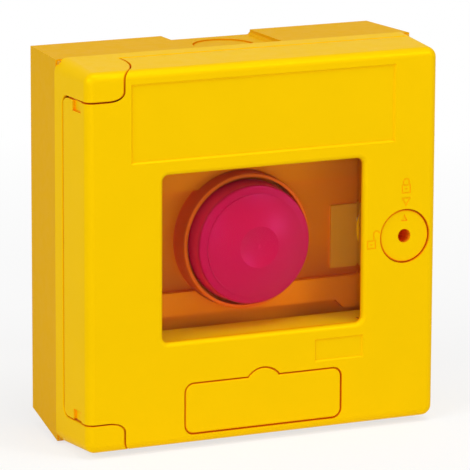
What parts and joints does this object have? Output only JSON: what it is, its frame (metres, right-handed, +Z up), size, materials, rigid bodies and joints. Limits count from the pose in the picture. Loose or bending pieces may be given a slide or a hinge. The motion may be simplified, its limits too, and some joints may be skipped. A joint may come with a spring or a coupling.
{
  "type": "emergency push button",
  "caption": "Yellow surface-mounted emergency push button: a square wall box with a hinged, glazed and lockable door in front of a red palm button on a raised yellow collar.",
  "frame": {"origin": "on the wall plane, at the centre of the 125 mm square front outline (middle of the wall fixing holes)", "axes": "+Z up, +X to the right seen from the front, +Y into the wall; the front face looks along -Y"},
  "size_m": [0.125, 0.05, 0.125],
  "materials": {
    "yellow_plastic": "satin moulded",
    "back_plastic": "satin moulded",
    "inner_yellow": "satin moulded",
    "red_plastic": "semi-gloss moulded",
    "clear_plastic": "clear moulded plastic",
    "olive_plastic": "satin moulded",
    "black_plastic": "satin moulded",
    "grey_plastic": "satin moulded",
    "rubber_black": "soft matt",
    "steel_zinc": "zinc plated",
    "steel_bright": "bright",
    "contact_brass": "bright"
  },
  "bodies": {
    "housing": {"back_box": "back_plastic", "front_frame": "yellow_plastic", "box_gasket": "rubber_black", "inner_cover": "inner_yellow", "cover_screws": "steel_zinc", "insert_plate": "olive_plastic", "operator_body": "inner_yellow", "operator_seal": "rubber_black", "operator_nut": "black_plastic", "contact_mount": "black_plastic", "contact_blocks": "grey_plastic", "closed_contacts": "contact_brass", "open_contacts": "contact_brass", "terminal_screws": "steel_zinc", "hinge_pins": "steel_bright", "return_spring": "steel_bright"},
    "door": {"door": "yellow_plastic", "window_pane": "clear_plastic", "pane_clips": "yellow_plastic", "pane_clip_screws": "steel_zinc", "lower_plate": "yellow_plastic"},
    "lock": {"lock_barrel": "yellow_plastic", "lock_ring": "rubber_black", "lock_cam": "steel_zinc", "lock_clip": "steel_bright"},
    "push": {"push_head": "red_plastic", "push_stem": "black_plastic", "stem_clip": "steel_bright", "contact_carrier": "black_plastic", "contact_bridges": "contact_brass"}
  },
  "joints": [
    {"name": "door_hinge", "type": "hinge", "parent": "housing", "child": "door", "pos_m": [-0.0588, -0.037, 0], "axis": [0, 0, -1], "range_deg": [0, 100]},
    {"name": "lock_turn", "type": "hinge", "parent": "door", "child": "lock", "pos_m": [0.04985, -0.037, 0], "axis": [0, -1, 0], "range_deg": [0, 90]},
    {"name": "push_slide", "type": "slide", "parent": "housing", "child": "push", "axis": [0, 1, 0], "range_m": [0, 0.0045], "stiffness_N_per_m": 800, "deforming": ["return_spring"]}
  ]
}
